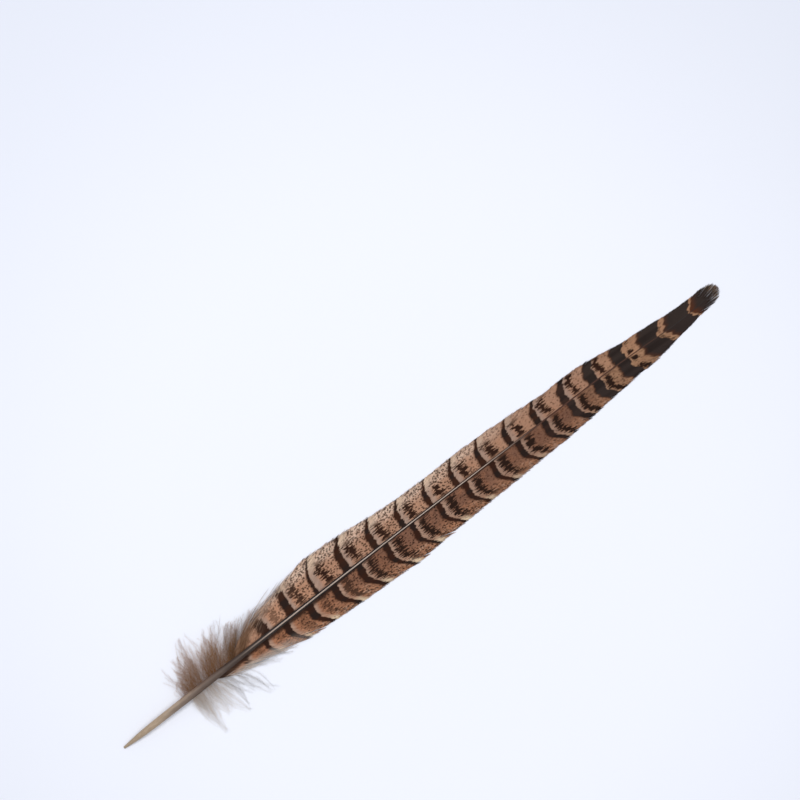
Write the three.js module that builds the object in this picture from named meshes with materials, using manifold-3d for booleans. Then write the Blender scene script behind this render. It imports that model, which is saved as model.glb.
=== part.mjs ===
// A pheasant tail feather, lying with its upper face up on a flat surface.
//
// It grew as one piece, so it is one solid: the shaft (a round bare quill that thins into the
// rachis), a vane on each side of the rachis, parted into locks of barbs, and tufts of down
// where the vanes begin.
//
// Millimetres. +X runs along the shaft from the quill's end to the feather's tip, +Y is the side
// of the wider vane, and +Z is up. The origin lies under the middle of the feather.
import * as THREE from "three";
import { mergeVertices } from "three/addons/utils/BufferGeometryUtils.js";
import Module from "manifold-3d";

// ---- driving dimensions ------------------------------------------------------------------

const LENGTH = 290; // from the quill's end to the tip
const ARCH = 2.6; // how high the shaft's underside stands over the surface at mid length
const BOW = 0.75; // sideways curve of the shaft at mid length, towards +Y

// Shaft radius, as [distance from the quill's end, radius].
const SHAFT_RADIUS = [
  [0, 0.45], [8, 1.15], [22, 1.45], [38, 1.52], [58, 1.22],
  [96, 0.86], [154, 0.55], [200, 0.34], [250, 0.2], [287, 0.12],
];
const SHAFT_END = 287; // the rachis ends just short of the tip
const SHAFT_SIDES = 14;
const SHAFT_RINGS = 40;
const GROOVE_FROM = 60; // the groove under the rachis starts here
const GROOVE_DEPTH = 0.25; // as a share of the radius

// The two sides of the feather. An edge is a vane's outer edge, as [distance from the quill's
// end, distance from the shaft]. A tuft of down is [foot, end along the shaft, end out from it].
const DOWN_REACH = 20.5;
const WIDE_SIDE = {
  side: 1,
  firstBarb: 53.5,
  edge: [
    [50, 12.9], [77, 14.2], [95, 14.5], [112, 13.7], [132, 11.5], [147, 10.5], [178, 10.5],
    [197, 9.5], [212, 8.5], [225, 8.4], [236, 7.5], [248, 5.6], [261, 4.5], [271, 3.6], [280, 3.4],
    [285, 3.5], [288, 3], [289.4, 2], [290, 0.6],
  ],
  splits: [4, 22], // the locks after which the vane is parted
  tufts: [
    [33, 33, 12], [36.5, 38, 15.5], [40, 44, DOWN_REACH], [43.5, 49, 14], [47, 55, 17.5],
    [50.5, 61, 14],
  ],
};
const NARROW_SIDE = {
  side: -1,
  firstBarb: 44,
  edge: [
    [44, 5], [54, 6.4], [62, 7.8], [72, 9.3], [81, 11], [96, 12], [116, 13.2], [135, 14.1],
    [155, 13.1], [178, 12.5], [197, 11.8], [216, 10.8], [233, 9.6], [248, 8.4], [261, 7.5],
    [267, 6.3], [273, 5.5], [277, 4.7], [283, 4.2], [287, 3.2], [289.3, 1.8], [290, 0.4],
  ],
  splits: [9, 18],
  tufts: [
    [33, 33, 13], [36.5, 35.5, DOWN_REACH], [40, 42, 15.5], [43.5, 48, 19.5], [47, 53, 14.5],
    [50.5, 59, 19],
  ],
};
const LAST_BARB = 286; // both vanes' last barbs leave the rachis here
const LOCKS = 32; // locks of barbs in each vane
const LOCK_ROWS = 6; // rows of faces from the rachis to the edge
const CROWDING = 1.25; // over 1, the locks get narrower towards the tip

// A barb leaves the rachis steeply and bends towards the tip. By its end it has run BARB_RUN
// times as far along the shaft as it has out from it, and near the tip of the feather more.
const BARB_RUN = 2.1;
const BARB_START = 0.43; // a straight barb would have 1
const FAN_FROM = 266; // from this foot on, the barbs turn more and more along the shaft
const FAN = 0.97; // how nearly the last one lies along it

const VANE_THICK = 0.45; // at the rachis
const EDGE_THICK = 0.28; // at the outer edge
const RIDGE = 0.2; // how far a lock's middle stands over its sides
const DROOP = 1.35; // over 1, the vane falls away faster near its edge
const ATTACH = 0.35; // height of the vane's root over the shaft's axis, as a share of its radius
const EDGE_LIFT = 1.2; // height of the edge over the surface where the vanes begin
const EDGE_DOWN_AT = 110; // from here on the edge lies on the surface
const FURROW_REACH = 0.97; // between two locks the vane ends at this share of a barb
const SPLIT_REACH = 0.84; // the same where the vane is parted

const TUFT_WIDTH = 2.8; // half the width of a tuft where it is widest
const TUFT_FLATNESS = 0.22; // its thickness as a share of its width

// ---- curves shared by the pieces ---------------------------------------------------------

// A smooth curve through a list of [distance, value], as a function of distance.
function smoothThrough(points) {
  const curve = new THREE.CubicInterpolant(
    points.map(([distance]) => distance),
    points.map(([, value]) => value),
    1,
  );
  const first = points[0][0];
  const last = points[points.length - 1][0];
  return (distance) => curve.evaluate(THREE.MathUtils.clamp(distance, first, last))[0];
}

const shaftRadius = smoothThrough(SHAFT_RADIUS);
const rise = (s) => Math.sin((Math.PI * THREE.MathUtils.clamp(s, 0, LENGTH)) / LENGTH);
const shaftAxisY = (s) => BOW * rise(s);
const shaftAxisZ = (s) => shaftRadius(s) + ARCH * rise(s);

// ---- the shaft ---------------------------------------------------------------------------

// A lathed quill with its axis bent along the arch and the bow, grooved along its underside.
function makeShaft() {
  const profile = [new THREE.Vector2(0, 0)];
  for (let i = 0; i <= SHAFT_RINGS; i++) {
    const s = SHAFT_END * (i / SHAFT_RINGS) ** 1.2;
    profile.push(new THREE.Vector2(shaftRadius(s), s));
  }
  profile.push(new THREE.Vector2(0, SHAFT_END));
  const geometry = new THREE.LatheGeometry(profile, SHAFT_SIDES);
  return bend(geometry, (p) => {
    const s = p.y;
    const downward = Math.max(0, -p.z / (shaftRadius(s) || 1));
    const groove = s > GROOVE_FROM ? 1 - GROOVE_DEPTH * downward ** 6 : 1;
    return new THREE.Vector3(s - LENGTH / 2, shaftAxisY(s) + p.x, shaftAxisZ(s) + p.z * groove);
  }, true);
}

// ---- the vanes ---------------------------------------------------------------------------

// How far along the shaft and out from it the barb with this foot ends: where its path meets the
// vane's edge.
function barbSpan(vane, foot) {
  const fan = FAN * THREE.MathUtils.smoothstep(foot, FAN_FROM, LAST_BARB);
  const lie = BARB_RUN / (1 - fan);
  let near = 0;
  let far = LENGTH;
  for (let i = 0; i < 40; i++) {
    const reach = (near + far) / 2;
    const end = foot + reach * lie;
    const inside = end < LENGTH && vane.width(end) > reach;
    if (inside) near = reach;
    else far = reach;
  }
  return { run: near * lie, reach: near };
}

// Height of a vane's underside at s along the shaft and t out from it.
function undersideZ(vane, s, t) {
  const root = shaftAxisZ(s) + ATTACH * shaftRadius(s) - VANE_THICK / 2;
  const out = Math.min(1, Math.max(0, t) / Math.max(vane.width(s), 0.5));
  const lifted = EDGE_LIFT * Math.max(0, 1 - s / EDGE_DOWN_AT);
  return Math.max(0, lifted + (root - lifted) * (1 - out ** DROOP));
}

// A thin plate of barbs, bent from a box whose X is the barb's foot along the rachis, Y the way
// out along the barb and Z the vane's thickness. Every second column is a lock's ridge.
function makeVane(vane) {
  const columns = 2 * LOCKS;
  const geometry = new THREE.BoxGeometry(1, 1, 1, columns, LOCK_ROWS, 1);
  return bend(geometry, (p) => {
    const along = p.x + 0.5;
    const column = Math.round(along * columns);
    const ridge = column % 2 === 1;
    const furrow = !ridge && column > 0 && column < columns;
    const furrowReach = vane.splits.includes(column / 2) ? SPLIT_REACH : FURROW_REACH;
    const share = (0.5 + vane.side * p.y) * (furrow ? furrowReach : 1);
    const foot = THREE.MathUtils.lerp(vane.firstBarb, LAST_BARB, 1 - (1 - along) ** CROWDING);
    const { run, reach } = barbSpan(vane, foot);
    const s = foot + run * (BARB_START * share + (1 - BARB_START) * share ** 2);
    const t = share > 0 ? reach * share : -EDGE_THICK / 2;
    const thick = THREE.MathUtils.lerp(VANE_THICK, EDGE_THICK, share) + (ridge ? RIDGE : 0);
    const z = undersideZ(vane, s, t) + (p.z > 0 ? thick : 0);
    return new THREE.Vector3(s - LENGTH / 2, shaftAxisY(s) + vane.side * t, z);
  });
}

// ---- the down ----------------------------------------------------------------------------

// One flattened tuft: a cylinder drawn out to the form of a leaf, and bent along a curve that
// leaves the shaft at its axis and comes down to the surface.
function makeTuft(side, [foot, endS, endT]) {
  const root = new THREE.Vector3(foot, shaftAxisY(foot), shaftAxisZ(foot));
  const crest = new THREE.Vector3(foot + 0.2 * (endS - foot), side * endT * 0.5, root.z + 0.4);
  const end = new THREE.Vector3(endS, side * endT, 0.3);
  const path = new THREE.QuadraticBezierCurve3(root, crest, end);
  const up = new THREE.Vector3(0, 0, 1);
  const geometry = new THREE.CylinderGeometry(1, 1, 1, 8, 6);
  return bend(geometry, (p) => {
    const way = p.y + 0.5;
    const width = TUFT_WIDTH * Math.sin(Math.PI * (0.2 + 0.77 * way));
    const sideways = path.getTangent(way).cross(up).normalize();
    const at = path.getPoint(way).addScaledVector(sideways, p.x * width);
    at.z = Math.max(0, at.z + p.z * width * TUFT_FLATNESS);
    at.x -= LENGTH / 2;
    return at;
  });
}

// ---- joining -----------------------------------------------------------------------------

const manifold = await Module();
manifold.setup();

// A closed three.js geometry with each vertex moved by place, as a solid. A mapping that mirrors
// the geometry turns its faces round, and flip turns them back.
function bend(geometry, place, flip = false) {
  const bare = new THREE.BufferGeometry();
  bare.setAttribute("position", geometry.getAttribute("position").clone());
  bare.setIndex(geometry.getIndex());
  const merged = mergeVertices(bare, 1e-5);
  const positions = merged.getAttribute("position");
  const point = new THREE.Vector3();
  for (let i = 0; i < positions.count; i++) {
    const moved = place(point.fromBufferAttribute(positions, i));
    positions.setXYZ(i, moved.x, moved.y, moved.z);
  }
  const faces = [];
  const index = merged.getIndex().array;
  for (let i = 0; i < index.length; i += 3) {
    const [a, b, c] = index.slice(i, i + 3);
    if (a !== b && b !== c && c !== a) faces.push(...(flip ? [a, c, b] : [a, b, c]));
  }
  return new manifold.Manifold(new manifold.Mesh({
    numProp: 3,
    vertProperties: new Float32Array(positions.array),
    triVerts: new Uint32Array(faces),
  }));
}

function geometryOf(solid) {
  const { numProp, numVert, vertProperties, triVerts } = solid.getMesh();
  const positions = new Float32Array(numVert * 3);
  for (let i = 0; i < numVert; i++) {
    positions.set(vertProperties.subarray(i * numProp, i * numProp + 3), i * 3);
  }
  const geometry = new THREE.BufferGeometry();
  geometry.setAttribute("position", new THREE.BufferAttribute(positions, 3));
  geometry.setIndex(new THREE.BufferAttribute(triVerts, 1));
  geometry.computeVertexNormals();
  return geometry;
}

let solid = makeShaft();
for (const vane of [WIDE_SIDE, NARROW_SIDE]) {
  vane.width = smoothThrough(vane.edge);
  solid = solid.add(makeVane(vane));
  for (const tuft of vane.tufts) {
    solid = solid.add(makeTuft(vane.side, tuft));
  }
}

const keratin = new THREE.MeshStandardMaterial({
  name: "barred_keratin",
  color: 0x9a7560,
  roughness: 0.6,
  metalness: 0,
  side: THREE.DoubleSide,
});
const feather = new THREE.Mesh(geometryOf(solid), keratin);
feather.name = "feather";

const group = new THREE.Group();
group.name = "pheasant_tail_feather";
group.add(feather);

export default group;
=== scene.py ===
import math

import bmesh
import bpy
import numpy as np
from mathutils import Matrix, Vector


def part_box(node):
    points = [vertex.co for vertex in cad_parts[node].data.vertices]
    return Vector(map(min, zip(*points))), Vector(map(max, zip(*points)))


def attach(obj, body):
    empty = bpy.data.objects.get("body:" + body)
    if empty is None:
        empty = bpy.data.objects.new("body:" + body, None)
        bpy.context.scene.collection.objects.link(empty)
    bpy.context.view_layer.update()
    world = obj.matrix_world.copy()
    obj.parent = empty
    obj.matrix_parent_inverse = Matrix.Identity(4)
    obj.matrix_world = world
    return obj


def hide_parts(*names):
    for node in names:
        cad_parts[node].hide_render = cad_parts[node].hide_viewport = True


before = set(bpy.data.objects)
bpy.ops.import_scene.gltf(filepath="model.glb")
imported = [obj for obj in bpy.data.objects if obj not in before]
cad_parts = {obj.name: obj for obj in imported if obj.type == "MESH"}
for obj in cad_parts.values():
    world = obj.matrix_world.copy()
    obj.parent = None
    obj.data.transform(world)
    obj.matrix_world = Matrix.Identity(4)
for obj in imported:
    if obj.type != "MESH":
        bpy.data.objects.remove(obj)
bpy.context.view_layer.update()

# ---- The shaft ---------------------------------------------------------------------------
# A tube of horn that the whole feather grows from: a bare quill, open at its very end, which
# thins into the rachis between the vanes and bends a little near the tip. Straw at the quill, it
# turns through taupe to slate, then brown. The rachis has a groove along its underside.

MM = 0.001
box_low, box_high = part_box("feather")
LENGTH = (box_high[0] - box_low[0]) / MM
SHAFT_END = LENGTH - 3  # the last barbs reach past it
SHAFT_POINT = 0.1  # length of its closed point
ARCH = 2.6  # how high the shaft's underside stands over the surface at mid length
BOW = 0.75  # sideways curve of the shaft at mid length
TIP_SWAY = [  # its bend near the tip, as distance from the quill's end, shift to the wide side
    (0, 0), (215, 0), (235, -0.1), (250, -0.6), (264, -1.25), (275, -1.3), (284, -0.7), (290, 0),
]
SHAFT_RADIUS = [  # as distance from the quill's end, radius
    (0, 0.45), (8, 1.15), (22, 1.45), (38, 1.52), (58, 1.22),
    (96, 0.86), (154, 0.55), (200, 0.34), (250, 0.2), (287, 0.12),
]
QUILL_HOLE = [(2.6, 0), (2.3, 0.16), (0.3, 0.2), (0.02, 0.3)]  # the hole's wall, from its bottom out
SHAFT_RINGS = 260
RING_CROWDING = 1.2  # over 1, the rings are closer together at the quill's end
SHAFT_SIDES = 28
GROOVE_FROM = 60
GROOVE_DEEP_AT = 75
GROOVE_DEPTH = 0.25  # as a share of the radius
GROOVE_NARROWNESS = 6
SAME_POINT = 0.0001  # points closer than this are merged
# Where the horn changes, as start and end of the change.
GLOSS_COMES = (52.0, 80.0)
GLOSS_GOES = (165.0, 205.0)
# Painted shade on the quill's narrow side comes and goes over these.
SIDE_SHADE_COMES = (14.0, 28.0)
SIDE_SHADE_GOES = (42.0, 60.0)
# The painted highlight along the shaft's ridge narrows between these.
HIGHLIGHT_NARROWS = (95.0, 140.0)


def smooth_through(points):
    """A smooth curve through points of distance and value, as a function of distance."""
    at, value = np.array(points, float).T
    slope = np.gradient(value, at)

    def curve(x):
        x = np.clip(x, at[0], at[-1])
        i = np.clip(np.searchsorted(at, x, side="right") - 1, 0, len(at) - 2)
        gap = at[i + 1] - at[i]
        w = (x - at[i]) / gap
        low = (1 + 2 * w) * (1 - w) ** 2 * value[i] + w * (1 - w) ** 2 * gap * slope[i]
        high = w ** 2 * (3 - 2 * w) * value[i + 1] + w ** 2 * (w - 1) * gap * slope[i + 1]
        return low + high

    return curve


def smoothstep(low, high, x):
    """Eases from 0 to 1 as x goes from low to high."""
    w = np.clip((x - low) / (high - low), 0, 1)
    return w * w * (3 - 2 * w)


shaft_radius = smooth_through(SHAFT_RADIUS)
tip_sway = smooth_through(TIP_SWAY)


def rise(s):
    """0 at both ends of the feather and 1 at its middle."""
    return np.sin(math.pi * np.clip(s, 0, LENGTH) / LENGTH)


def shaft_axis_y(s):
    return BOW * rise(s) + tip_sway(s)


def shaft_axis_z(s):
    return shaft_radius(s) + ARCH * rise(s)


def points_of(mesh):
    """A mesh's vertices as three rows: x, y and z."""
    flat = np.empty(len(mesh.vertices) * 3)
    mesh.vertices.foreach_get("co", flat)
    return flat.reshape(-1, 3).T


def move_points(mesh, s, y, z):
    """Puts a mesh's vertices at these places, in millimetres from the quill's end."""
    places = np.stack([s - LENGTH / 2, y, z], axis=1) * MM
    mesh.vertices.foreach_set("co", places.ravel())
    mesh.update()


def note(mesh, name, values):
    """Keeps one number for each vertex, for the materials to read."""
    mesh.attributes.new(name, "FLOAT", "POINT").data.foreach_set("value", values.astype(np.float32))


def make_piece(name, form):
    """Turns a bmesh into a piece, smooth all over."""
    mesh = bpy.data.meshes.new(name)
    bmesh.ops.recalc_face_normals(form, faces=form.faces)
    for face in form.faces:
        face.smooth = True
    form.to_mesh(mesh)
    form.free()
    piece = bpy.data.objects.new(name, mesh)
    bpy.context.collection.objects.link(piece)
    return piece


def finish_piece(piece, material):
    piece.data.materials.append(material)
    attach(piece, "root")
    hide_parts("feather")


form = bmesh.new()
outer = [SHAFT_END * (i / SHAFT_RINGS) ** RING_CROWDING for i in range(SHAFT_RINGS + 1)]
point = [(SHAFT_END + SHAFT_POINT, 0)]
profile = QUILL_HOLE + [(s, float(shaft_radius(s))) for s in outer] + point
line = [form.verts.new((s, 0, radius)) for s, radius in profile]
wires = [form.edges.new(pair) for pair in zip(line, line[1:])]
bmesh.ops.spin(
    form, geom=line + wires, cent=(0, 0, 0), axis=(1, 0, 0), angle=math.tau,
    steps=SHAFT_SIDES, use_merge=True,
)
bmesh.ops.remove_doubles(form, verts=form.verts, dist=SAME_POINT)
shaft = make_piece("shaft", form)
s, y, z = points_of(shaft.data)
downward = np.clip(-z / shaft_radius(s), 0, 1)
deepening = smoothstep(GROOVE_FROM, GROOVE_DEEP_AT, s)
groove = 1 - GROOVE_DEPTH * deepening * downward ** GROOVE_NARROWNESS
note(shaft.data, "side", y)
move_points(shaft.data, s, shaft_axis_y(s) + y, shaft_axis_z(s) + z * groove)


MIX_FIRST, MIX_SECOND, MIX_RESULT = 6, 7, 2  # a Mix node's sockets for colours


class Wire:
    """One socket of a material. Arithmetic on it adds Math nodes to the material."""

    def __init__(self, tree, socket=None):
        self.tree = tree
        self.socket = socket

    def node(self, kind, settings, sockets, output=0):
        """Adds a node, sets it, and fills its sockets with values or links."""
        made = self.tree.nodes.new(kind)
        for name, value in settings.items():
            if name == "stops":
                for place, _ in value[2:]:
                    made.color_ramp.elements.new(place)
                for element, (place, tint) in zip(made.color_ramp.elements, value):
                    element.position = place
                    element.color = tint
            else:
                setattr(made, name, value)
        for name, value in sockets.items():
            if isinstance(value, Wire):
                self.tree.links.new(value.socket, made.inputs[name])
            else:
                made.inputs[name].default_value = value
        return Wire(self.tree, made.outputs[output] if made.outputs else None)

    def maths(self, operation, *values):
        return self.node("ShaderNodeMath", {"operation": operation}, dict(enumerate(values)))

    def __add__(self, other):
        return self.maths("ADD", self, other)

    def __sub__(self, other):
        return self.maths("SUBTRACT", self, other)

    def __rsub__(self, other):
        return self.maths("SUBTRACT", other, self)

    def __mul__(self, other):
        return self.maths("MULTIPLY", self, other)

    def __truediv__(self, other):
        return self.maths("DIVIDE", self, other)

    def __abs__(self):
        return self.maths("ABSOLUTE", self)

    __radd__ = __add__
    __rmul__ = __mul__

    def most(self, other):
        return self.maths("MAXIMUM", self, other)

    def least(self, other):
        return self.maths("MINIMUM", self, other)

    def step(self, low, high, at_low=0.0, at_high=1.0):
        """Eases from one value to another as this socket goes from low to high."""
        sockets = {
            "Value": self, "From Min": low, "From Max": high, "To Min": at_low, "To Max": at_high,
        }
        return self.node("ShaderNodeMapRange", {"interpolation_type": "SMOOTHSTEP"}, sockets)

    def mix(self, first, second):
        """The first colour where this socket is 0, the second where it is 1."""
        sockets = {"Factor": self, MIX_FIRST: first, MIX_SECOND: second}
        return self.node("ShaderNodeMix", {"data_type": "RGBA"}, sockets, output=MIX_RESULT)

    def shaded(self, other):
        """This colour, darkened by another."""
        settings = {"data_type": "RGBA", "blend_type": "MULTIPLY"}
        sockets = {"Factor": 1.0, MIX_FIRST: self, MIX_SECOND: other}
        return self.node("ShaderNodeMix", settings, sockets, output=MIX_RESULT)

    def noise(self, vector, scale, detail, roughness=0.5):
        sockets = {"Vector": vector, "Scale": scale, "Detail": detail, "Roughness": roughness}
        return self.node("ShaderNodeTexNoise", {}, sockets)

    def attribute(self, name):
        return self.node("ShaderNodeAttribute", {"attribute_name": name}, {}, output="Fac")

    def vector(self, x, y, z=0.0):
        return self.node("ShaderNodeCombineXYZ", {}, {"X": x, "Y": y, "Z": z})

    def patches(self, x, y, seed, detail=1.0, roughness=0.5):
        """Noise over two places, each given in lengths of a patch. A seed moves its patches."""
        return self.noise(self.vector(x, y, seed), 1.0, detail, roughness)

    def spots(self, vector, size, share, blur=0.12):
        """Round spots, one in each cell of a scattered pattern, in this share of the cells."""
        settings = {"voronoi_dimensions": "2D"}
        cell = self.node("ShaderNodeTexVoronoi", settings, {"Vector": vector, "Scale": 1.0})
        luck = Wire(self.tree, cell.socket.node.outputs["Color"])
        return cell.step(size, size + blur, 1.0, 0.0) * (share - luck).step(0.0, 0.05)


def colour(red, green, blue):
    """A colour given as it shows on screen, 0 to 255, as the light that a material takes."""
    linear = [((c / 255 + 0.055) / 1.055) ** 2.4 for c in (red, green, blue)]
    return (*linear, 1.0)


def new_material(name):
    """An empty material. Returns it and a wire to build its nodes from."""
    material = bpy.data.materials.new(name)
    material.use_nodes = True
    material.node_tree.nodes.clear()
    return material, Wire(material.node_tree)


def surface(start, constants, sockets):
    """Closes a material with its shader: plain constants, and sockets that vary."""
    shader = start.node("ShaderNodeBsdfPrincipled", {}, {**constants, **sockets})
    start.node("ShaderNodeOutputMaterial", {}, {"Surface": shader})


def horn_material():
    """Horn that changes along the shaft, with a fine painted highlight along the ridge of the slate
    part and painted shade on the quill's narrow side.
    """
    material, start = new_material("horn")
    place = start.node("ShaderNodeTexCoord", {}, {}, output="Object")
    along = start.node("ShaderNodeSeparateXYZ", {}, {"Vector": place}) / MM + LENGTH / 2
    stretch = start.node("ShaderNodeMapping", {}, {"Vector": place, "Scale": (60, 900, 900)})
    streaks = start.noise(stretch, 6.0, 4.0)
    mottle = start.noise(place, 240.0, 3.0)
    stops = [
        (0.0, colour(168, 149, 127)), (0.05, colour(178, 157, 134)), (0.094, colour(176, 156, 138)),
        (0.13, colour(124, 104, 92)), (0.18, colour(74, 58, 50)), (0.24, colour(48, 37, 32)),
        (0.33, colour(30, 21, 17)), (0.54, colour(30, 19, 14)), (0.65, colour(58, 32, 18)),
        (0.72, colour(76, 38, 17)), (0.88, colour(68, 36, 18)), (0.92, colour(38, 28, 24)),
    ]
    place_on_ramp = along / LENGTH + mottle * 0.03 - 0.015
    tint = start.node("ShaderNodeValToRGB", {"stops": stops}, {"Fac": place_on_ramp})
    gloss = along.step(*GLOSS_COMES) * along.step(*GLOSS_GOES, 1.0, 0.0)
    side = start.attribute("side")
    # Painted shade on the quill's narrow side, away from the lamp.
    painted_side_shade = along.step(*SIDE_SHADE_COMES) * along.step(*SIDE_SHADE_GOES, 1.0, 0.0)
    painted_side_shade = side.step(-0.3, 1.0, 1.0, 0.0) * painted_side_shade
    tint = (painted_side_shade * 0.6).mix(tint, colour(84, 70, 62))
    # A painted highlight along the top of the glossy shaft, narrowing towards the tip.
    highlight_at = along.step(*HIGHLIGHT_NARROWS, 0.05, 0.0)
    highlight_ends = along.step(*HIGHLIGHT_NARROWS, 0.32, 0.24)
    ridge = abs(side - highlight_at).step(0.06, highlight_ends, 1.0, 0.0) * gloss
    tint = (ridge * 0.93).mix(tint, colour(186, 162, 146))
    tint = tint.shaded(streaks.step(0.3, 0.7).mix(colour(225, 220, 215), colour(255, 255, 255)))
    bumps = {"Height": streaks, "Strength": 0.15, "Distance": 0.0001}
    dents = start.node("ShaderNodeBump", {}, bumps)
    rough = streaks * 0.08 + gloss * -0.3 + 0.46
    constants = {"IOR": 1.54, "Specular IOR Level": 0.3}
    surface(start, constants, {"Base Color": tint, "Roughness": rough, "Normal": dents})
    return material


finish_piece(shaft, horn_material())

# ---- The vanes ---------------------------------------------------------------------------
# Two thin sheets, one on each side of the rachis, of 560 barbs each. A barb is a curved branch
# with a fringe along both sides, and the fringes hook it to its neighbours. The dark bars grew
# into the barbs one after another, so their edges step from barb to barb.

WIDE_EDGE = [  # as distance from the quill's end, distance from the shaft
    (50, 12.9), (77, 14.2), (95, 14.5), (112, 13.7), (132, 11.5), (147, 10.5), (178, 10.5),
    (197, 9.5), (212, 8.5), (225, 8.4), (236, 7.6), (248, 6.1), (261, 5.6), (271, 4.9), (280, 4.4),
    (285, 4.1), (288, 3.2), (289.4, 2), (290, 0.6),
]
NARROW_EDGE = [
    (44, 5), (54, 6.4), (62, 7.8), (72, 9.3), (81, 11), (96, 12), (116, 13.2), (135, 14.1),
    (155, 13.1), (178, 12.5), (197, 11.8), (216, 10.8), (233, 9.5), (248, 7.9), (261, 6.2),
    (267, 4.9), (273, 4.1), (277, 3.5), (283, 3.4), (287, 2.9), (289.3, 1.7), (290, 0.4),
]
# How far a bar leans towards the tip, as share of the vane's width, share of it again.
WIDE_LEAN = [
    (0, 0), (0.2, 0), (0.4, 0.015), (0.6, 0.055), (0.7, 0.11), (0.8, 0.19), (0.9, 0.27), (1, 0.36),
]
NARROW_LEAN = [
    (0, 0), (0.25, -0.03), (0.45, -0.06), (0.6, -0.01), (0.73, 0.1), (0.84, 0.21), (1, 0.35),
]
TIP_LEAN = 0.8  # the same for the last bars, which are straight arms of a V
TIP_LEAN_FROM = 248
TIP_LEAN_AT = 262
# Where some of the bars cross the shaft, as distance from the quill's end, number from the tip.
WIDE_BARS = [
    (50, 15.6), (58, 15.45), (70.6, 15), (82.8, 14), (95.8, 13), (110.2, 12), (150.9, 9), (176.5, 7),
    (216.3, 4), (268.4, 0), (290, -1.64),
]
NARROW_BARS = [
    (48.7, 18), (58.7, 17), (78.7, 15), (102.1, 13), (140.5, 10), (204.8, 5), (269, 0), (290, -1.6),
]
BAR_STEP = 13.1  # from one bar to the next
LAST_BARB = 286  # both vanes' last barbs leave the rachis here
BARBS = 560  # in each vane
BARB_STEPS = 16  # lengths that a barb is bent from
ROW = 3  # how far apart the strands are made, before each is put in its place
CROWDING = 1.25  # over 1, the barbs get closer towards the tip
BARB_RUN = 2.1  # how many times further a barb goes along the shaft than out from it
BARB_START = 0.43  # a straight barb would have 1
FAN_FROM = 266  # from this foot on, the barbs turn more and more along the shaft
FAN = 0.97  # how nearly the last one lies along it
VANE_THICK = 0.45
DROOP = 1.35  # over 1, the vane falls away faster near its edge
ATTACH = 0.35  # height of the vane's root over the shaft's axis, as a share of its radius
EDGE_LIFT = 1.2  # height of the edge over the surface where the vanes begin
EDGE_DOWN_AT = 110  # from here on the edge lies on the surface
SHEET_LIFT = 0.17  # the barbs' middle over the lowest that the vane may reach
RAMUS_TOP = 0.09  # how far a barb's ridge stands over its fringes at its foot
RAMUS_KEEL = 0.13  # and how far its keel hangs under them
FRINGE = 0.8  # half a barb's width, as a share of the way to the next one
FRINGE_TILT = 0.035  # each barb's outer fringe lies over the next one's
NARROWEST = 0.3  # the vane is taken to be at least as wide as this
NARROWEST_FALL = 0.5  # and where it falls away from the shaft, as this
LOWEST = 0.01  # nothing of the vane comes nearer to the surface
HALVINGS = 40  # steps in the search for a barb's end
BAKE_MAP = "OFBake"
BAKE_BLOCKS = 4  # the barbs' bake map has this many blocks of rows, side by side
BLOCK_MARGIN = 0.02  # as a share of a block
ROW_HALF = 0.45  # half of what a barb takes of its row
FACE_MARGIN = 0.005  # round the map's upper and lower half
# The barbs lie in locks, which are tighter, tilted and longer or shorter by chance.
LOCK_LEAST, LOCK_MOST = 7, 23  # barbs in a lock
LOCK_TIGHT = 0.06
LOCK_TILT = 0.07
LOCK_LENGTHS = 0.012
HELD = 0.35  # this share of each barb stays in its place, and the rest may leave it
SPACING_LEAST, SPACING_MOST = 0.02, 0.6  # from one barb to the next
STRAY = 0.1  # how far a barb strays, as a share of the way to the next one
ENDS = 0.01  # how much the barbs differ in length, as a share of it
BARB_POINTED_FROM = 0.95
BARB_POINT = 0.7  # how much thinner a barb's end is
RAMUS_TAPER = 0.55
# Barbs that have come loose, at the first rows and at the tip, stray further than the others.
LOOSE_BORDER = 4  # how uneven the border of the loose rows is, in rows
FRAY = 0.5  # how loose the last barbs are
FRAY_FROM = 0.86  # as a share of the rows
LOOSE_STRAY = 0.5
LOOSE_ENDS = 0.04
LOOSE_NARROWER = 0.6  # how much of their fringes they lose
LOOSE_LIFT = 0.25  # how far they may rise
FIRST_BARBS = 32  # these are shorter and streaked, the first most of all
FIRST_SHORTER = 0.5
# Where the barbs have come unhooked: at which foot, how far they overlap, how far the upper lock
# lifts, and from which share of the barbs on.
WIDE_PARTINGS = [(86.8, 0.3, 0.45, 0.12), (229, -0.06, 0.2, 0.7), (178, -0.1, 0.1, 0.75)]
NARROW_PARTINGS = [(124.5, -0.3, 0.15, 0.72), (66, -0.2, 0.15, 0.4), (199.5, -0.12, 0.1, 0.8)]
PARTING_WIDTH = 1.5  # how far along the shaft a parting disturbs the barbs


def add_bar(form, steps):
    """Adds a square bar, one unit long and one across, cut into this many lengths."""
    bmesh.ops.create_cube(form, size=1)
    long_edges = [e for e in form.edges if abs(e.verts[0].co.x - e.verts[1].co.x) > 0.5]
    bmesh.ops.subdivide_edges(form, edges=long_edges, cuts=steps - 1)


def barb_strands(name, count):
    """A piece of closed strands in rows, each one unit long and two across from ridge to ridge."""
    form = bmesh.new()
    add_bar(form, BARB_STEPS)
    eighth = Matrix.Rotation(math.pi / 4, 3, "X")
    bmesh.ops.rotate(form, verts=form.verts, matrix=eighth)
    bmesh.ops.scale(form, verts=form.verts, vec=(1, math.sqrt(2), math.sqrt(2)))
    return in_rows(make_piece(name, form), count)


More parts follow.
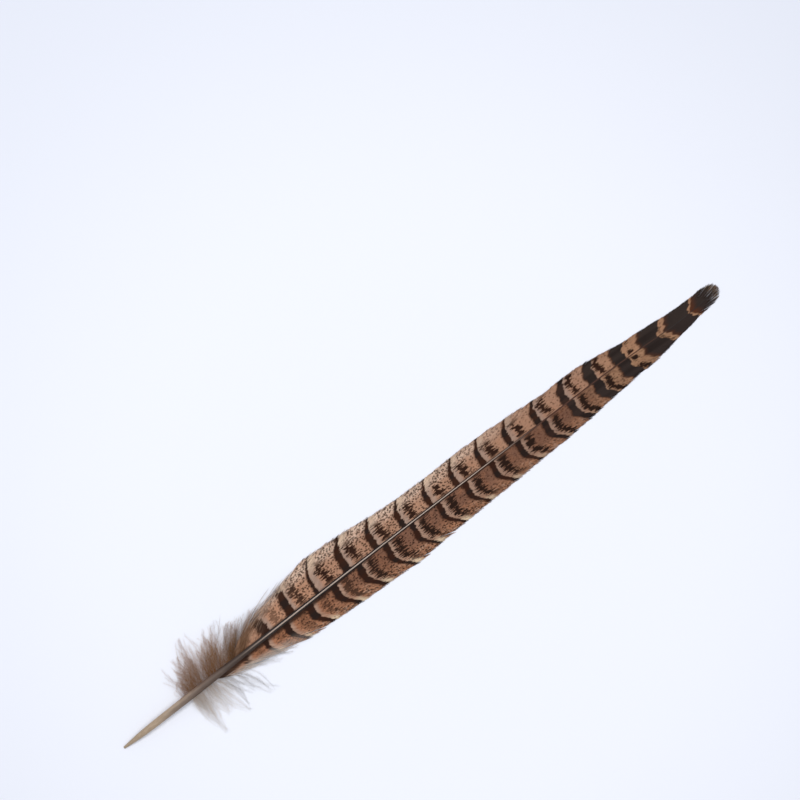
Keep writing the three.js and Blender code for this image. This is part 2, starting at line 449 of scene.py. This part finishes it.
def in_rows(piece, count):
    """Repeats a piece's strand, so that it has this many of them, side by side."""
    rows = piece.modifiers.new("rows", "ARRAY")
    rows.count = count
    rows.use_relative_offset = False
    rows.use_constant_offset = True
    rows.constant_offset_displace = (0, ROW, 0)
    bpy.context.view_layer.update()
    ready = piece.evaluated_get(bpy.context.evaluated_depsgraph_get())
    joined = bpy.data.meshes.new_from_object(ready)
    piece.modifiers.clear()
    piece.data = joined
    return piece


def in_strand(mesh):
    """Which strand each vertex is of, and its share along, across and up in that strand."""
    x, y, z = points_of(mesh)
    row = np.rint(y / ROW).astype(int)
    return row, x + 0.5, y - ROW * row, z


def underside(s, out, width):
    """Height of a vane's underside at s along the shaft and out from it."""
    root = shaft_axis_z(s) + ATTACH * shaft_radius(s) - VANE_THICK / 2
    share = np.clip(out / np.maximum(width, NARROWEST_FALL), 0, 1)
    lifted = EDGE_LIFT * np.clip(1 - s / EDGE_DOWN_AT, 0, 1)
    return np.maximum(0, lifted + (root - lifted) * (1 - share ** DROOP))


def barb_spans(foot, width):
    """How far along the shaft and out from it each barb ends: where its path meets the edge."""
    lie = BARB_RUN / (1 - FAN * smoothstep(FAN_FROM, LAST_BARB, foot))
    near = np.zeros_like(foot)
    far = np.full_like(foot, LENGTH)
    for _ in range(HALVINGS):
        reach = (near + far) / 2
        end = foot + reach * lie
        inside = (end < LENGTH) & (width(end) > reach)
        near = np.where(inside, reach, near)
        far = np.where(inside, far, reach)
    return near * lie, near


def locks(rng, count):
    """Parts the barbs into locks. Each barb's place in its lock, -1 to 1, and the lock's size,
    tightness, tilt and how much longer its barbs are."""
    place, size, tight, tilt, longer = (np.zeros(count) for _ in range(5))
    first = 0
    while first < count:
        many = int(rng.integers(LOCK_LEAST, LOCK_MOST + 1))
        last = min(first + many, count)
        place[first:last] = np.linspace(-1, 1, last - first) if last - first > 1 else 0
        size[first:last] = last - first
        tight[first:last] = LOCK_TIGHT * rng.random() ** 3
        tilt[first:last] = rng.normal(0, LOCK_TILT)
        longer[first:last] = rng.normal(0, LOCK_LENGTHS)
        first = last
    return place, size, tight, tilt, longer


def corners_of(mesh):
    """The vertex at each corner of a mesh's faces."""
    corners = np.empty(len(mesh.loops), int)
    mesh.loops.foreach_get("vertex_index", corners)
    return corners


def set_bake_map(mesh, u, v):
    layer = mesh.uv_layers.new(name=BAKE_MAP)
    layer.data.foreach_set("uv", np.stack([u, v], axis=1).ravel())


def lay_bake_map(mesh, row, share, across, up):
    """A map with a row for each barb: the upper faces in its upper half, the others below."""
    corners = corners_of(mesh)
    start = np.empty(len(mesh.polygons), int)
    mesh.polygons.foreach_get("loop_start", start)
    total = np.empty(len(mesh.polygons), int)
    mesh.polygons.foreach_get("loop_total", total)
    faces_up = np.add.reduceat(up[corners], start) > 0
    top = np.repeat(faces_up, total)
    in_block = math.ceil(BARBS / BAKE_BLOCKS)
    block, line = np.divmod(row[corners], in_block)
    u = (block + BLOCK_MARGIN + (1 - 2 * BLOCK_MARGIN) * share[corners]) / BAKE_BLOCKS
    v = (line + 0.5 + ROW_HALF * across[corners]) / in_block
    set_bake_map(mesh, u, 0.5 * top + FACE_MARGIN + (0.5 - 2 * FACE_MARGIN) * v)


def make_vane(name, side, edge_points, lean_points, bar_points, partings, first_barb, loose_rows, seed):
    """A vane on one side of the shaft. Each barb is bent along its own path, noted with where
    its markings come from, and then moved a little off that path by its lock and by chance."""
    rng = np.random.default_rng(seed)
    edge = smooth_through(edge_points)
    lean = smooth_through(lean_points)
    bars = smooth_through(bar_points)
    piece = barb_strands(name, BARBS)
    mesh = piece.data
    row, share, across, up = in_strand(mesh)

    order = np.linspace(0, 1, BARBS)
    feet = first_barb + (LAST_BARB - first_barb) * (1 - (1 - order) ** CROWDING)
    runs, reaches = barb_spans(feet, edge)

    # Where each vertex would be on a barb in perfect order: the markings follow this.
    bent = BARB_START * share + (1 - BARB_START) * share ** 2
    s = feet[row] + runs[row] * bent
    out = reaches[row] * share
    width = np.maximum(edge(s), NARROWEST)
    out_share = np.clip(out / width, 0, 1)
    towards_tip = smoothstep(TIP_LEAN_FROM, TIP_LEAN_AT, s)
    leaning = (1 - towards_tip) * lean(out_share) + towards_tip * TIP_LEAN * out_share
    growth = s - leaning * width
    note(mesh, "bar", bars(growth))
    note(mesh, "out", out_share)
    note(mesh, "far", out)
    note(mesh, "along", s)
    note(mesh, "foot", feet[row])
    note(mesh, "way", np.hypot(runs[row] * bent, out))
    note(mesh, "under", np.clip(-up, 0, 1))
    lay_bake_map(mesh, row, share, across, up)

    # The way along the barb, the way to the next one, and how far off that is.
    along = runs[row] * (BARB_START + 2 * (1 - BARB_START) * share)
    length = np.hypot(along, reaches[row]) + 1e-6
    next_s, next_out = reaches[row] / length, -along / length
    step_s = np.gradient(feet)[row] + np.gradient(runs)[row] * bent
    step_out = np.gradient(reaches)[row] * share
    spacing = np.clip(step_s * next_s + step_out * next_out, SPACING_LEAST, SPACING_MOST)

    # How far each vertex leaves its place: by its lock, as a loose barb, and by chance.
    place, size, tight, tilt, longer = locks(rng, BARBS)
    outer = smoothstep(HELD, 1, share)
    pull = -place[row] * tight[row] * size[row] / 2 * spacing * outer
    loose = np.maximum(
        1 - smoothstep(0, loose_rows, row + rng.normal(0, LOOSE_BORDER, BARBS)[row]),
        FRAY * smoothstep(FRAY_FROM, 1, row / BARBS),
    )
    sway = rng.normal(0, 1, BARBS)[row]
    bow = rng.normal(0, 1, BARBS)[row]
    bending = sway * share + bow * np.sin(math.pi * share)
    stray = (STRAY * spacing + LOOSE_STRAY * loose) * bending * outer
    uneven = (ENDS + LOOSE_ENDS * loose) * rng.normal(0, 1, BARBS)[row]
    extra = 1 + (longer[row] + uneven) * share
    first = 1 - smoothstep(0, FIRST_BARBS, row)
    extra -= FIRST_SHORTER * first * rng.random(BARBS)[row] * share
    note(mesh, "first", first)
    thin = 1 - BARB_POINT * smoothstep(BARB_POINTED_FROM, 1, share)
    half = FRINGE * spacing * thin * (1 - LOOSE_NARROWER * loose * outer)

    off = across * half + pull + stray
    lifted = np.zeros_like(off)
    for parted_at, overlap, lift, from_share in partings:
        away = feet[row] - parted_at
        near = np.exp(-np.abs(away) / PARTING_WIDTH) * smoothstep(from_share, 1, share)
        off -= overlap * np.sign(away) * near
        lifted += lift * near * (away > 0)

    s_now = feet[row] + runs[row] * bent * extra + next_s * off
    out_now = out * extra + next_out * off
    ridge = np.where(up > 0, RAMUS_TOP, RAMUS_KEEL) * (1 - RAMUS_TAPER * share) * thin
    z = underside(s_now, np.maximum(out_now, 0), width) + SHEET_LIFT
    z += up * ridge + across * FRINGE_TILT + place[row] * tilt[row] * outer
    z += LOOSE_LIFT * loose * rng.random(BARBS)[row] * outer + lifted
    s_now = np.minimum(s_now, LENGTH)
    move_points(mesh, s_now, shaft_axis_y(s_now) + side * out_now, np.maximum(z, LOWEST))
    if side < 0:
        mesh.flip_normals()
    return piece


RAMP_BARS = 20  # the ramp of half widths goes up to this bar
RAMP_WIDTH = 8  # and its white stands for this half width


def barred_material(name, looks):
    """Barbs with dark bars, a mottled band beyond each bar, and dots beyond that. The places
    come from the mesh's own notes, so the markings follow the barbs."""
    material, start = new_material(name)
    bar, out, far, along, foot, way, under, first = (
        start.attribute(noted)
        for noted in ("bar", "out", "far", "along", "foot", "way", "under", "first")
    )
    lock = start.patches(foot / 1.7, way / 9, 0.0, detail=2.0) - 0.5
    hair = start.patches(foot / 0.6, way / 5, 7.0) - 0.5
    teeth = start.patches(along / 5, far / 0.6, 5.0, roughness=0.6) - 0.5
    patch = start.patches(along / 4, far / 2.4, 3.0, detail=2.0)
    fingers = start.patches(along / 6, far / 0.5, 29.0)
    wobble = teeth * 0.5
    dot_place = start.vector(along / 1.35 + hair * 0.5, far / 0.95 + wobble)
    speck_place = start.vector(along / 0.95 + wobble, far / 0.7 + 40.0)

    # The bars: half as wide as the ramp says, uneven, and thinner at the outer edge.
    ruffled = along.step(55.0, 80.0, 1.0, 0.0)
    place = bar + lock * 0.10 + hair * (ruffled * 0.3 + 0.06) + teeth * 0.06
    nearest = place.maths("ROUND", place)
    offset = abs(place - nearest) * BAR_STEP
    greys = [
        (number / RAMP_BARS, (*[half / RAMP_WIDTH] * 3, 1)) for number, half in looks["half_widths"]
    ]
    ramp = start.node("ShaderNodeValToRGB", {"stops": greys}, {"Fac": nearest / RAMP_BARS})
    half = ramp * RAMP_WIDTH
    uneven = start.patches(nearest * 3, far / 2.2, 23.0) - 0.5
    half = half * (uneven * 0.9 + 1.0)
    thinner = out.step(0.45, 0.9, 0.0, 1.0 - looks["edge_thinning"]) * bar.step(3.2, 5.5)
    half = half * (1.0 - thinner)
    soft = (place - nearest).step(-0.02, 0.02, 0.28, 0.6) + ruffled * 0.5
    barred = ((offset - half) / soft).step(-1.0, 1.0, 1.0, 0.0)
    cap = place.step(-0.6, -0.55, 1.0, 0.0)
    dark = barred.most(cap)

    # Beyond a bar: a pale band, then a broken mottled band, then a dotted field.
    ragged = bar + lock * 0.14 + teeth * 0.3
    beyond = ragged.maths("CEIL", ragged) - ragged
    smooth_beyond = bar.maths("CEIL", bar) - bar
    pale = (smooth_beyond + lock * 0.12 + teeth * 0.1).step(0.18, 0.34, 1.0, 0.0)
    blot_at = along.step(85.0, 115.0, looks["first_blot_at"], looks["blot_at"])
    blot_at = blot_at - out.step(0.15, 0.7, 0.0, looks["blot_lag"])
    near_tip = along.step(188.0, 222.0)
    half_blot = fingers.step(0.36, 0.6, 0.025, 0.19) * bar.step(0.4, 2.2, 0.35, 1.0)
    half_blot = half_blot * (1.0 - near_tip * 0.42) + near_tip * 0.03
    blot = (abs(beyond - blot_at) - half_blot).step(-0.01, 0.025, 1.0, 0.0)
    gaps = bar.step(1.4, 2.6, 0.2, 0.0) + looks["gaps"]
    blot = blot * ((patch + teeth * 0.7) - gaps).step(0.0, 0.07)
    blot = blot * (out - near_tip * 0.3).step(*looks["blot_out"], 1.0, 0.0)
    blot = blot * out.step(0.03, 0.14, 0.3, 1.0) * bar.step(0.2, 1.2, 0.4, 1.0)
    blot = blot * along.step(*looks["blot_from"])
    fading = along.step(160.0, 185.0, 1.0, 0.6)
    field = smooth_beyond.step(0.26, 0.5) * fading
    crowd = out.step(0.5, 0.85) * along.step(175.0, 205.0, 1.0, 0.2) * looks["edge_dots"]
    dotted = start.spots(dot_place, 0.24, field * looks["dots"] + crowd)
    fine = start.spots(speck_place, 0.2, field * 0.35 * looks["dots"] + crowd * 0.8)
    dotted = dotted.most(fine * 0.85) * bar.step(1.0, 1.8) * (1.0 - pale * 0.5)
    dotted = dotted * along.step(60.0, 90.0, 0.4, 1.0)

    # The ground between the bars: rufous near the quill, with a paler margin and freckles.
    rufous = along.step(75.0, 125.0, 1.0, 0.0)
    ground = rufous.mix(looks["ground"], looks["rufous_ground"])
    margin = out.step(0.42, 0.88) * looks["margin"] * (patch * 1.2 + 0.35).least(1.0)
    margin = margin * along.step(165.0, 205.0, 1.0, looks["far_margin"])
    ground = margin.mix(ground, looks["margin_ground"])
    rosy = start.patches(along / 2.4, far / 1.6, 51.0).step(0.5, 0.66)
    rosy = rosy * out.step(0.55, 0.9) * looks["rosy"]
    ground = rosy.mix(ground, colour(206, 168, 144))
    paler = (patch * 0.6 + 0.6).least(1.0) * out.step(0.35, 0.75, 1.0, looks["outer_pale"])
    ground = (pale * paler).mix(ground, looks["pale"])
    cream = pale * out.step(looks["cream_from"], 0.95)
    cream = cream * along.step(155.0, 215.0, 1.0, looks["far_cream"])
    ground = cream.mix(ground, looks["cream"])
    ground = (along.step(145.0, 205.0) * 0.24).mix(ground, looks["shade"])
    ground = bar.step(1.4, looks["chevron_to"], 1.0, 0.0).mix(ground, looks["chevron"])
    warm = start.patches(along / 5, far / 3, 13.0, detail=2.0).step(0.45, 0.7)
    ground = (warm * 0.35 * (1.0 - pale)).mix(ground, looks["warm"])
    freckles = start.patches(along / 1.1 + wobble, far / 0.6, 17.0, detail=2.0)
    freckles = freckles.step(0.5, 0.64)
    freckles = freckles * smooth_beyond.step(0.2, 0.4) * looks["freckles"] * bar.step(1.0, 2.0)
    ground = freckles.mix(ground, looks["shade"])
    shade = (hair * 0.7 + lock * 0.6 + 0.5).step(0.3, 0.7)
    ground = (shade * 0.4).mix(ground, looks["shade"])
    marks = (dotted * fading * 0.85).most(blot)
    ground = marks.mix(ground, looks["mottle"])

    # The bars' own colour: slate in patches, brown towards the quill, rust and worn at the tip.
    bar_tint = bar.step(*looks["brown_from"]).mix(looks["tip_bar"], looks["bar"])
    slate = start.patches(nearest * 5, far / 3.5, 37.0).step(0.4, 0.62)
    bar_tint = (slate * bar.step(-0.5, 1.5) * 0.8).mix(bar_tint, colour(36, 27, 24))
    quill_edge = (offset / half).step(0.55, 1.0) * (place - nearest).step(0.0, 0.02)
    bar_tint = (quill_edge * 0.7).mix(bar_tint, colour(80, 46, 30))
    rust = place.step(-0.85, -0.6) * place.step(-0.5, -0.4, 1.0, 0.0) * out.step(0.2, 0.9, 0.6, 0.1)
    bar_tint = rust.mix(bar_tint, colour(92, 48, 26))
    worn = along.step(284.0, 290.5) * (hair * 5 + 0.3).most(0.0)
    bar_tint = worn.least(1.0).mix(bar_tint, colour(150, 122, 94))
    tint = dark.mix(ground, bar_tint)

    # The streaked first barbs, their downy ends, the shade beside the shaft, and the underside.
    streak = (hair * 5 + 0.5).step(0.0, 1.0).mix(colour(88, 60, 44), colour(186, 152, 128))
    tint = (first * 0.7).mix(tint, streak)
    downy = out.step(0.45, 0.95) * along.step(62.0, 88.0, 1.0, 0.0) * looks["downy_ends"]
    tint = downy.mix(tint, colour(214, 200, 188))
    # Painted shade on the vane beside the shaft, in the dark mottle colour, fading out towards the tip.
    shaded_to = along.step(48.0, 62.0, 4.6, looks["shaded_to"])
    shaded_to = shaded_to - along.step(85.0, 125.0, 0.0, looks["shaded_to"] - 1.0)
    root_shade = (far / shaded_to).step(0.55, 1.0, 1.0, 0.0) * along.step(170.0, 205.0, 1.0, 0.0)
    tint = (root_shade * looks["root_shade"]).mix(tint, looks["mottle"])
    tint = (under * 0.4).mix(tint, colour(176, 158, 146))

    bumps = {"Height": hair, "Strength": 0.2, "Distance": 0.00005}
    grain = start.node("ShaderNodeBump", {}, bumps)
    constants = {"IOR": 1.5, "Specular IOR Level": 0.08}
    varied = {"Base Color": tint, "Roughness": dark * -0.08 + 0.6, "Normal": grain}
    surface(start, constants, varied)
    return material


HALF_WIDTHS = [  # as a bar's number from the tip, half its width along the shaft
    (0, 6.0), (1, 4.25), (2, 3.0), (3, 2.4), (4, 1.8), (5.5, 1.4), (10, 1.25), (12, 1.7),
    (14, 1.95), (16, 1.5),
]
# What differs between the vanes' markings. Two numbers are where a change starts and ends, and
# two more are the values before and after it.
WIDE_LOOKS = {
    "half_widths": sorted(HALF_WIDTHS + [(13, 0.8)]),
    "edge_thinning": 0.45,
    "blot_at": 0.43,
    "blot_lag": 0.12,
    "blot_from": (62.0, 95.0, 0.3, 1.0),
    "first_blot_at": 0.48,
    "blot_out": (0.6, 0.82),
    "gaps": 0.33,
    "dots": 0.78,
    "edge_dots": 0.5,
    "margin": 0.9,
    "far_margin": 0.1,
    "rosy": 0.2,
    "margin_ground": colour(250, 222, 200),
    "ground": colour(188, 145, 118),
    "warm": colour(186, 134, 102),
    "freckles": 0.45,
    "rufous_ground": colour(200, 150, 120),
    "pale": colour(174, 148, 133),
    "outer_pale": 1.0,
    "cream": colour(236, 208, 182),
    "cream_from": 0.45,
    "far_cream": 0.15,
    "brown_from": (2.5, 5.5),
    "chevron": colour(174, 132, 102),
    "chevron_to": 3.6,
    "shade": colour(142, 104, 84),
    "mottle": colour(50, 28, 18),
    "bar": colour(58, 31, 18),
    "tip_bar": colour(55, 45, 41),
    "root_shade": 0.45,
    "shaded_to": 1.8,
    "downy_ends": 0.25,
}
NARROW_LOOKS = {
    "half_widths": HALF_WIDTHS,
    "edge_thinning": 0.65,
    "blot_at": 0.38,
    "blot_lag": 0.03,
    "blot_from": (75.0, 125.0, 0.3, 1.0),
    "first_blot_at": 0.62,
    "blot_out": (0.75, 1.0),
    "gaps": 0.27,
    "dots": 0.5,
    "edge_dots": 0.3,
    "margin": 0.8,
    "far_margin": 1.0,
    "rosy": 0.7,
    "margin_ground": colour(197, 142, 108),
    "ground": colour(138, 98, 78),
    "warm": colour(158, 102, 70),
    "freckles": 0.8,
    "rufous_ground": colour(176, 120, 88),
    "pale": colour(184, 151, 131),
    "outer_pale": 0.6,
    "cream": colour(236, 210, 178),
    "cream_from": 0.72,
    "far_cream": 0.3,
    "brown_from": (2.5, 7.0),
    "chevron": colour(172, 132, 102),
    "chevron_to": 4.4,
    "shade": colour(92, 62, 48),
    "mottle": colour(42, 25, 17),
    "bar": colour(54, 28, 17),
    "tip_bar": colour(53, 43, 40),
    "root_shade": 0.9,
    "shaded_to": 2.9,
    "downy_ends": 0.8,
}
wide_vane = make_vane(
    "wide_vane", 1, WIDE_EDGE, WIDE_LEAN, WIDE_BARS, WIDE_PARTINGS,
    first_barb=53.5, loose_rows=30, seed=3,
)
finish_piece(wide_vane, barred_material("wide_barbs", WIDE_LOOKS))
narrow_vane = make_vane(
    "narrow_vane", -1, NARROW_EDGE, NARROW_LEAN, NARROW_BARS, NARROW_PARTINGS,
    first_barb=44, loose_rows=50, seed=4,
)
finish_piece(narrow_vane, barred_material("narrow_barbs", NARROW_LOOKS))

# ---- The down ----------------------------------------------------------------------------
# Loose barbs where the vanes begin, with no hooks to hold them together. Each is a soft thread
# with two rows of hair-fine barbules, pale grey on the narrow side and brown on the wide side.

THREAD_STEPS = 14
THREAD_RADIUS = 0.02
BARBULES = 60  # in each of a thread's two rows
BARBULE_LENGTH = 1.7
BARBULE_RADIUS = 0.014
BARBULE_WIDTH = 0.0012  # at its foot, as a share of the thread's length
BARBULES_FROM = 0.02  # where on the thread they begin
BARBULES_OVER = 0.94  # and how much of it they take
BARBULE_SWEEP = 0.05  # how far a barbule points forward, as a share of the thread's length
# Tufts as foot, end along the shaft, end out from it, how many threads, how far they spread.
WIDE_TUFTS = [
    (33, 33, 12, 34, 2.4), (36.5, 38, 15.5, 38, 3.0), (40, 44, 20.5, 30, 3.0),
    (43.5, 49, 14, 40, 3.2), (47, 55, 17.5, 34, 3.2), (50.5, 61, 14, 40, 3.0), (54, 67, 13, 40, 2.6),
    (57.5, 73, 12, 30, 2.4),
]
NARROW_TUFTS = [
    (34, 34, 13, 34, 1.2), (36.5, 35.5, 20.5, 16, 1.4), (40, 42, 15.5, 26, 1.8),
    (43.5, 48, 19.5, 14, 1.6), (47, 53, 14.5, 14, 2.2), (50.5, 59, 19, 7, 1.6),
    (52, 66, 9.5, 12, 2.4), (56, 73, 11.5, 12, 2.4),
]
DOWN_REACH = 20.5
DOWN_LOWEST = 0.03
DOWN_TOP = 3.6
WHOLE_THREADS = 0.2  # this share of the threads reach as far as their tuft does
SHORTEST_THREAD = 0.4  # and the others at least this share of that
CURL = 1.7  # how far a thread bows to its side
WAVE = 0.35  # how far it waves
WAVE_TURN = 8  # what its waves turn through, in radians
THREAD_TAPER = 0.7
TILT = 0.3  # how steeply barbules rise or sink
END_BARBULES = 0.375  # the length of a thread's first and last ones, as a share of the middle ones
# What chance gives each thread, least and most: how much of its reach it has, how high its end
# and its middle lie, and how long its barbules are, all of them and then each by itself.
REACHES = (0.97, 1.0)
END_HEIGHTS = (0.15, 1.6)
PUFFS = (-0.2, 1.3)
FLUFFS = (0.5, 1.1)
BARBULES_VARY = (0.45, 1.15)
PAST_END = 1.03  # a thread's last barbules may reach this far, as a share of its length
MAP_MARGIN = 0.01
THREAD_ON_MAP = 0.95  # how much of the bake map's width a thread takes
HUGS_VANE = 4  # over this length a thread gets clear of the vane
OVER_VANE = 0.4  # over the vane's underside
UNDER_VANE = 0.05


def downy_strands(name, count):
    """Threads in rows, like the barbs' strands, with barbules as closed spikes on both sides.
    Each vertex is noted with the number of its barbule, or 0 on the thread itself."""
    form = bmesh.new()
    number = form.verts.layers.float.new("barbule")
    add_bar(form, THREAD_STEPS)
    bmesh.ops.scale(form, verts=form.verts, vec=(1, 2, 2))
    for i in range(2 * BARBULES):
        made = bmesh.ops.create_cone(
            form, segments=3, radius1=1, radius2=0, depth=1, cap_ends=True,
        )["verts"]
        bmesh.ops.translate(form, verts=made, vec=(0, 0, 0.5))
        bmesh.ops.scale(form, verts=made, vec=(BARBULE_WIDTH, 1, 1))
        sideways = Matrix.Rotation(math.pi / 2 * (-1) ** i, 3, "X")
        bmesh.ops.rotate(form, verts=made, matrix=sideways)
        foot = BARBULES_FROM + BARBULES_OVER * (i + 0.5) / (2 * BARBULES) - 0.5
        for vert in made:
            vert.co.x += foot + BARBULE_SWEEP * abs(vert.co.y)
            vert[number] = i + 1
    return in_rows(make_piece(name, form), count)


def make_down(name, side, edge_points, tufts, over_share, seed):
    """A side's down. A share of its threads lie over the vane and the others under it."""
    rng = np.random.default_rng(seed)
    tuft_of = np.repeat(np.arange(len(tufts)), [tuft[3] for tuft in tufts])
    count = len(tuft_of)
    foot, end_s, end_out, _, spread = (np.array(column, float)[tuft_of] for column in zip(*tufts))
    whole = rng.random(count) < WHOLE_THREADS
    stretch = np.where(whole, 1.0, rng.uniform(SHORTEST_THREAD, 1.0, count))
    foot = foot + rng.uniform(-1, 1, count) * spread
    dy = end_out * stretch * rng.uniform(*REACHES, count)
    dx = (end_s - foot) * stretch + rng.normal(0, 1, count) * spread * stretch
    curl = rng.normal(0, CURL, count) * stretch
    wave = rng.normal(0, WAVE, count)
    phase = rng.uniform(0, math.tau, count)
    low = rng.uniform(*END_HEIGHTS, count)
    puff = rng.uniform(*PUFFS, count)
    fluff = rng.uniform(*FLUFFS, count) * BARBULE_LENGTH
    over = rng.random(count) < over_share

    piece = downy_strands(name, count)
    mesh = piece.data
    row, share, across, up = in_strand(mesh)
    share = np.clip(share, 0, PAST_END)
    number = np.empty(len(mesh.vertices))
    mesh.attributes["barbule"].data.foreach_get("value", number)
    number = np.rint(number).astype(int)
    thread = number == 0
    varied = rng.uniform(*BARBULES_VARY, (count, 2 * BARBULES + 1))[row, number]
    tilted = rng.normal(0, TILT, (count, 2 * BARBULES + 1))[row, number]
    note(mesh, "share", share)
    note(mesh, "hue", rng.random(count)[row])
    corners = corners_of(mesh)
    u = MAP_MARGIN + THREAD_ON_MAP * share[corners]
    set_bake_map(mesh, u, (row[corners] + 0.5) / count)

    # The thread's own way, and how far each vertex is off it.
    arc = np.sin(math.pi * share)
    along_s = dx[row] + curl[row] * math.pi * np.cos(math.pi * share)
    length = np.hypot(along_s, dy[row])
    taper = (1 - THREAD_TAPER * share) * THREAD_RADIUS
    reach = across * varied * fluff[row] * (END_BARBULES + (1 - END_BARBULES) * arc)
    off = np.where(thread, across * taper, reach)
    s = foot[row] + dx[row] * share + curl[row] * arc + dy[row] / length * off
    s += wave[row] * np.sin(phase[row] + WAVE_TURN * share) * share
    out = dy[row] * share - along_s / length * off
    out = np.minimum(np.abs(out), DOWN_REACH) * np.sign(out)

    # Its height: from the shaft down to its own end, and clear of the vane.
    root = shaft_axis_z(foot)[row]
    z = root + (low[row] - root) * share + puff[row] * arc
    z += np.where(thread, up * taper, up * BARBULE_RADIUS + np.abs(reach) * tilted)
    width = np.maximum(smooth_through(edge_points)(s), NARROWEST)
    sheet = underside(s, np.abs(out), width)
    vane_from = edge_points[0][0]
    clear = np.where(over[row], np.maximum(z, sheet + OVER_VANE), np.minimum(z, sheet - UNDER_VANE))
    z += (clear - z) * smoothstep(vane_from, vane_from + HUGS_VANE, s)
    z = np.clip(z, DOWN_LOWEST, DOWN_TOP)
    move_points(mesh, s, shaft_axis_y(foot)[row] + side * out, z)
    if side < 0:
        mesh.flip_normals()
    return piece


def down_material(name, root_colour, end_colour):
    """Soft down that gets paler towards its threads' ends, each thread a little different."""
    material, start = new_material(name)
    share = start.attribute("share")
    hue = start.attribute("hue")
    tint = share.step(0.0, 0.8).mix(root_colour, end_colour)
    tint = (hue * 0.3).mix(tint, root_colour)
    varied = {"Base Color": tint, "Roughness": hue * 0.2 + 0.6}
    surface(start, {"Specular IOR Level": 0.1}, varied)
    return material


brown_down = down_material("brown_down", colour(142, 100, 68), colour(184, 142, 108))
wide_down = make_down("wide_down", 1, WIDE_EDGE, WIDE_TUFTS, over_share=0.5, seed=11)
finish_piece(wide_down, brown_down)
grey_down = down_material("grey_down", colour(190, 170, 154), colour(250, 243, 236))
narrow_down = make_down("narrow_down", -1, NARROW_EDGE, NARROW_TUFTS, over_share=0.0, seed=12)
finish_piece(narrow_down, grey_down)

# ---- The surface, the light and the camera -----------------------------------------------
# A pale sheet of card that the feather lies on, a broad soft lamp high on the wide vane's side,
# and a camera straight above.

VIEW_TURN = math.radians(37.8)  # in the camera's view the shaft rises this much from level
AIM = Vector((21.3, 40.8, 0)) * MM  # what the camera points at
CAMERA_HEIGHT = 0.9
VIEW_WIDTH = 308.8 * MM  # what it sees from side to side
SENSOR = 36
CARD_HALF = 1.5  # half of the card's side
SKY = (0.93, 0.96, 1.0, 1.0)
SKY_STRENGTH = 0.5


def card_material():
    """White card, with painted shade that greys it away from its middle, as a pool of lamp light would.
    """
    material, start = new_material("card")
    place = start.node("ShaderNodeTexCoord", {}, {}, output="Object")
    settings = {"operation": "LENGTH"}
    from_middle = start.node("ShaderNodeVectorMath", settings, {0: place}, output="Value")
    # Painted shade: the card greys away from its middle, as if lamp light fell off there.
    tint = from_middle.step(0.1, 0.28).mix(colour(241, 243, 252), colour(229, 232, 243))
    surface(start, {"Roughness": 0.9}, {"Base Color": tint})
    return material


def in_view(right, up):
    """A direction in the camera's view, as the feather's own X and Y."""
    turned = Vector((right, up)) @ Matrix.Rotation(VIEW_TURN, 2)
    return Vector((turned.x, turned.y))


def add_lamp(name, right, up, height, size, power):
    """A round lamp that points at the feather's middle. Sizes are in metres, power in watts."""
    light = bpy.data.lights.new(name, "AREA")
    light.shape = "DISK"
    light.size = size
    light.energy = power
    lamp = bpy.data.objects.new(name, light)
    bpy.context.collection.objects.link(lamp)
    lamp.location = (*in_view(right, up), height)
    lamp.rotation_euler = (-lamp.location).to_track_quat("-Z", "Y").to_euler()


floor_form = bmesh.new()
bmesh.ops.create_grid(floor_form, x_segments=1, y_segments=1, size=CARD_HALF)
floor = make_piece("floor", floor_form)
floor.data.materials.append(card_material())

world = bpy.data.worlds.new("studio")
world.use_nodes = True
sky = world.node_tree.nodes["Background"].inputs
sky["Color"].default_value = SKY
sky["Strength"].default_value = SKY_STRENGTH
bpy.context.scene.world = world

add_lamp("softbox", right=-0.4, up=0.44, height=1.4, size=0.7, power=9.6)
add_lamp("fill", right=0.15, up=-0.15, height=0.8, size=0.5, power=1.6)

camera = bpy.data.objects.new("camera", bpy.data.cameras.new("camera"))
bpy.context.collection.objects.link(camera)
camera.location = AIM + Vector((0, 0, CAMERA_HEIGHT))
camera.rotation_euler = (0, 0, -VIEW_TURN)
camera.data.sensor_width = SENSOR
camera.data.lens = SENSOR * CAMERA_HEIGHT / VIEW_WIDTH
bpy.context.scene.camera = camera
bpy.context.scene.view_settings.view_transform = "Standard"
